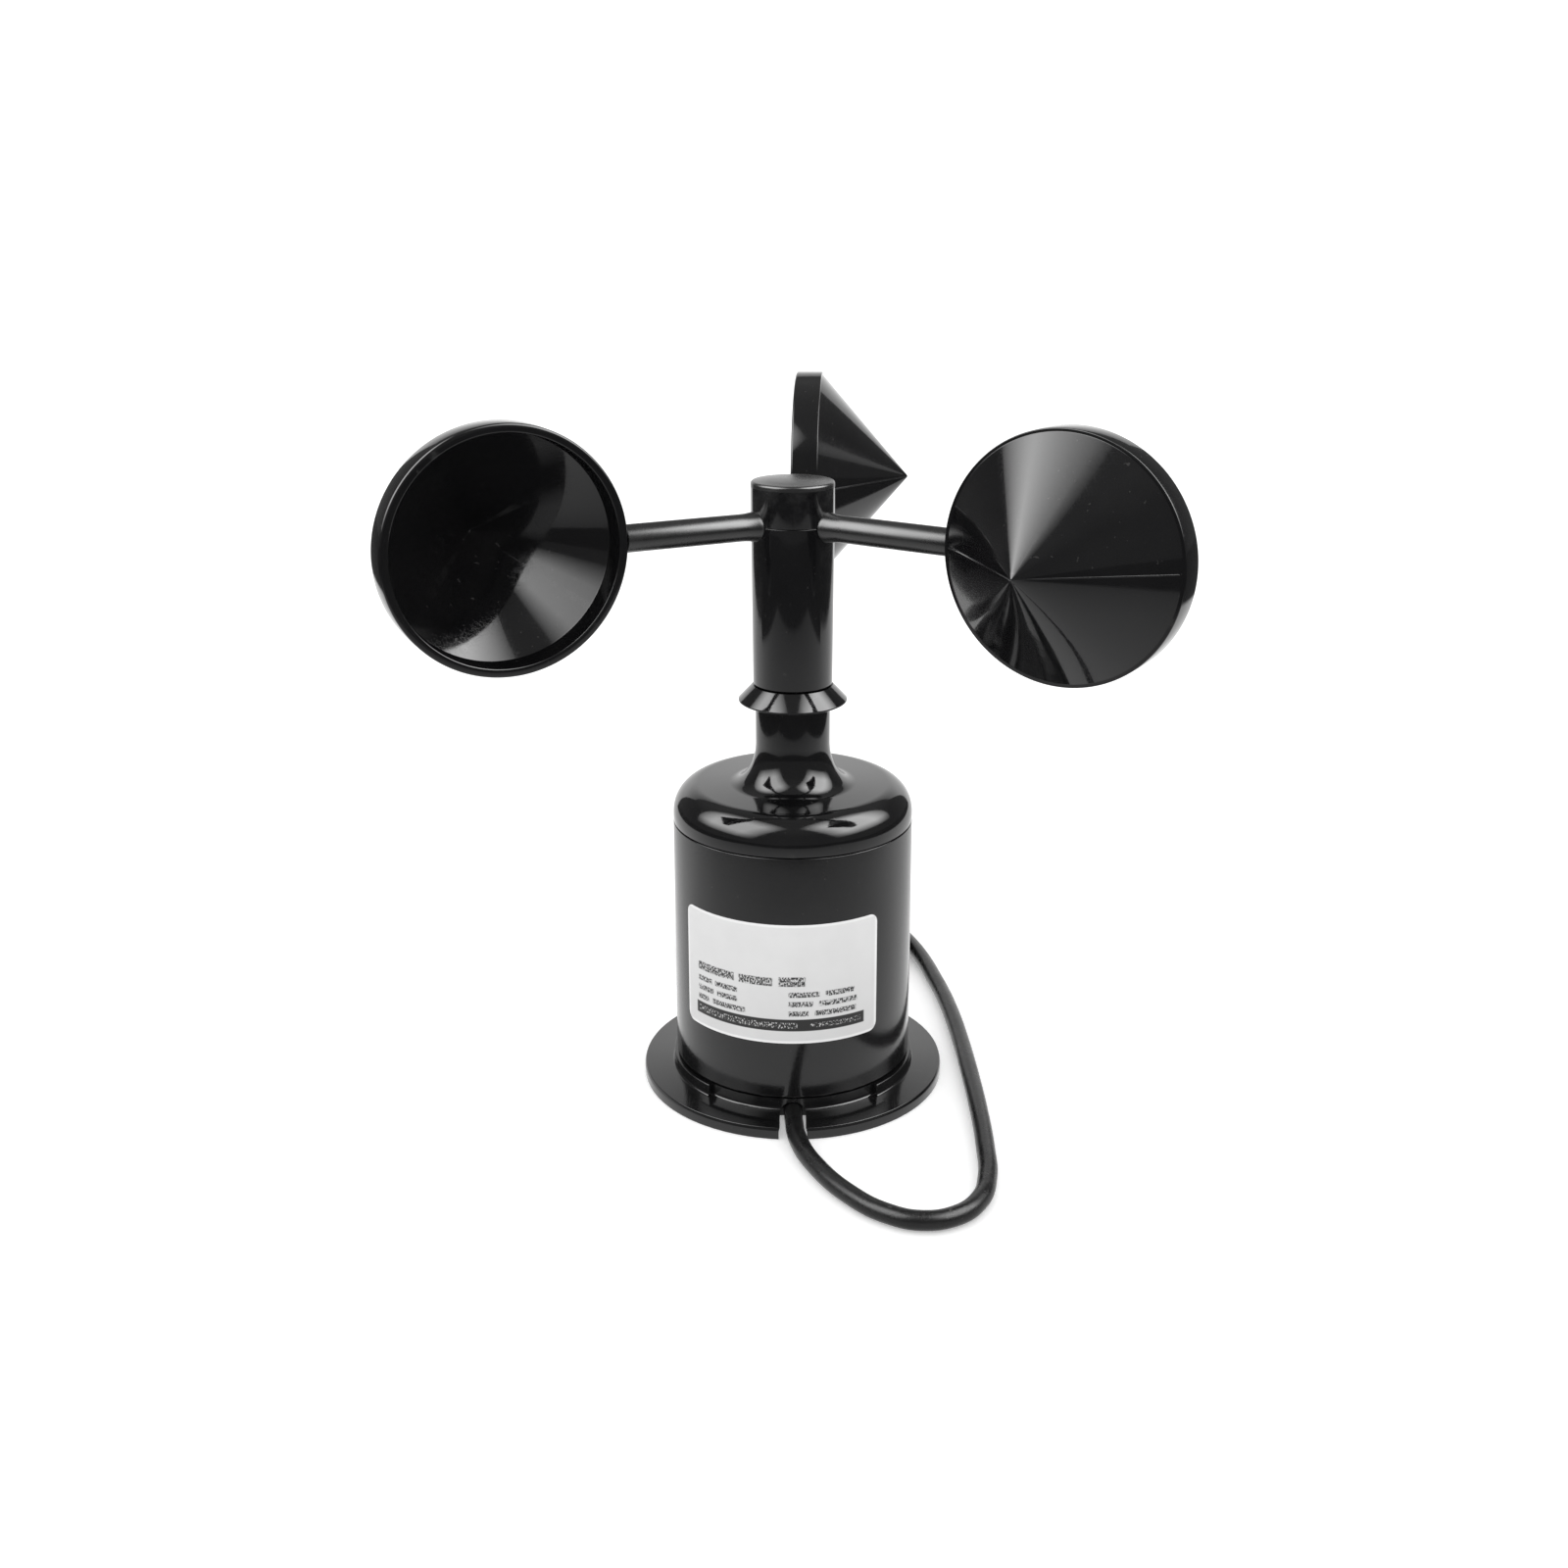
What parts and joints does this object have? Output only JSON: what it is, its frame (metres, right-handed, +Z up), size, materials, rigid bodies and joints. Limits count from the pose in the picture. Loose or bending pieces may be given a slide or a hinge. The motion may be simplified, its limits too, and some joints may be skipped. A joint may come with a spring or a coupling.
{
  "type": "cup anemometer",
  "caption": "Wind speed sensor whose cone-shaped cups turn a hub on a glossy neck, over a round housing with a flanged base and a coiled signal cable.",
  "frame": {"origin": "middle of the base's flat underside, on the rotor's axis", "axes": "+Z up along the rotor's axis, -Y out through the cable slot in the flange"},
  "size_m": [0.196, 0.2061, 0.1897],
  "materials": {
    "gloss_black": "glossy injection moulded",
    "satin_black": "satin, fine moulding grain",
    "seal_rubber": "matte",
    "label_film": "satin film",
    "board_green": "solder mask",
    "component_black": "moulded epoxy",
    "terminal_green": "moulded",
    "capacitor_blue": "shrink film",
    "bright_steel": "turned and ground",
    "dark_steel": "black oxide",
    "brass": "turned",
    "cable_vinyl": "satin vinyl sheath",
    "tie_nylon": "moulded",
    "lead_red": "vinyl",
    "lead_black": "vinyl",
    "lead_blue": "vinyl"
  },
  "bodies": {
    "stator": {"base_flange": "satin_black", "base_gasket": "seal_rubber", "base_seal_ring": "seal_rubber", "bearing_clip": "dark_steel", "board_screw_1": "bright_steel", "board_screw_2": "bright_steel", "board_screw_3": "bright_steel", "cable": "cable_vinyl", "cable_bushing": "seal_rubber", "cable_coil": "cable_vinyl", "circuit_board": "board_green", "coil_tie_1": "tie_nylon", "coil_tie_2": "tie_nylon", "end_sleeve": "seal_rubber", "housing_body": "satin_black", "inner_lead_black": "lead_black", "inner_lead_blue": "lead_blue", "inner_lead_red": "lead_red", "light_gate": "component_black", "loose_lead_black": "lead_black", "loose_lead_blue": "lead_blue", "loose_lead_red": "lead_red", "lower_outer_race": "bright_steel", "mount_insert_1": "brass", "mount_insert_2": "brass", "mount_insert_3": "brass", "rain_skirt": "gloss_black", "rating_label": "label_film", "signal_chip": "component_black", "supply_capacitor": "capacitor_blue", "terminal_block": "terminal_green", "tie_screw_1": "bright_steel", "tie_screw_2": "bright_steel", "tie_screw_3": "bright_steel", "top_housing": "gloss_black", "top_seal_ring": "seal_rubber", "upper_outer_race": "bright_steel"},
    "rotor": {"main_shaft": "bright_steel", "upper_inner_race": "bright_steel", "lower_inner_race": "bright_steel", "race_spacer": "brass", "shaft_clip": "dark_steel", "disc_hub": "brass", "grub_screw": "dark_steel", "encoder_disc": "dark_steel", "disc_clamp": "brass", "rotor_hub": "gloss_black", "rotor_sleeve": "gloss_black", "hub_washer": "bright_steel", "hub_nut": "bright_steel", "hub_cap": "gloss_black", "arm_1": "gloss_black", "arm_2": "gloss_black", "arm_3": "gloss_black", "cup_1": "gloss_black", "cup_2": "gloss_black", "cup_3": "gloss_black"},
    "upper_cage": {"upper_ball_cage": "bright_steel"},
    "lower_cage": {"lower_ball_cage": "bright_steel"}
  },
  "joints": [
    {"name": "rotor_spin", "type": "hinge", "parent": "stator", "child": "rotor", "pos_m": [0, 0, 0.1581], "axis": [0, 0, 1], "continuous": true},
    {"name": "upper_cage_spin", "type": "hinge", "parent": "stator", "child": "upper_cage", "pos_m": [0, 0, 0.148], "axis": [0, 0, 1], "continuous": true},
    {"name": "lower_cage_spin", "type": "hinge", "parent": "stator", "child": "lower_cage", "pos_m": [0, 0, 0.1022], "axis": [0, 0, 1], "continuous": true}
  ],
  "couplings": [
    {"joint": "upper_cage_spin", "follows": "rotor_spin", "ratio": 0.418},
    {"joint": "lower_cage_spin", "follows": "rotor_spin", "ratio": 0.418}
  ]
}
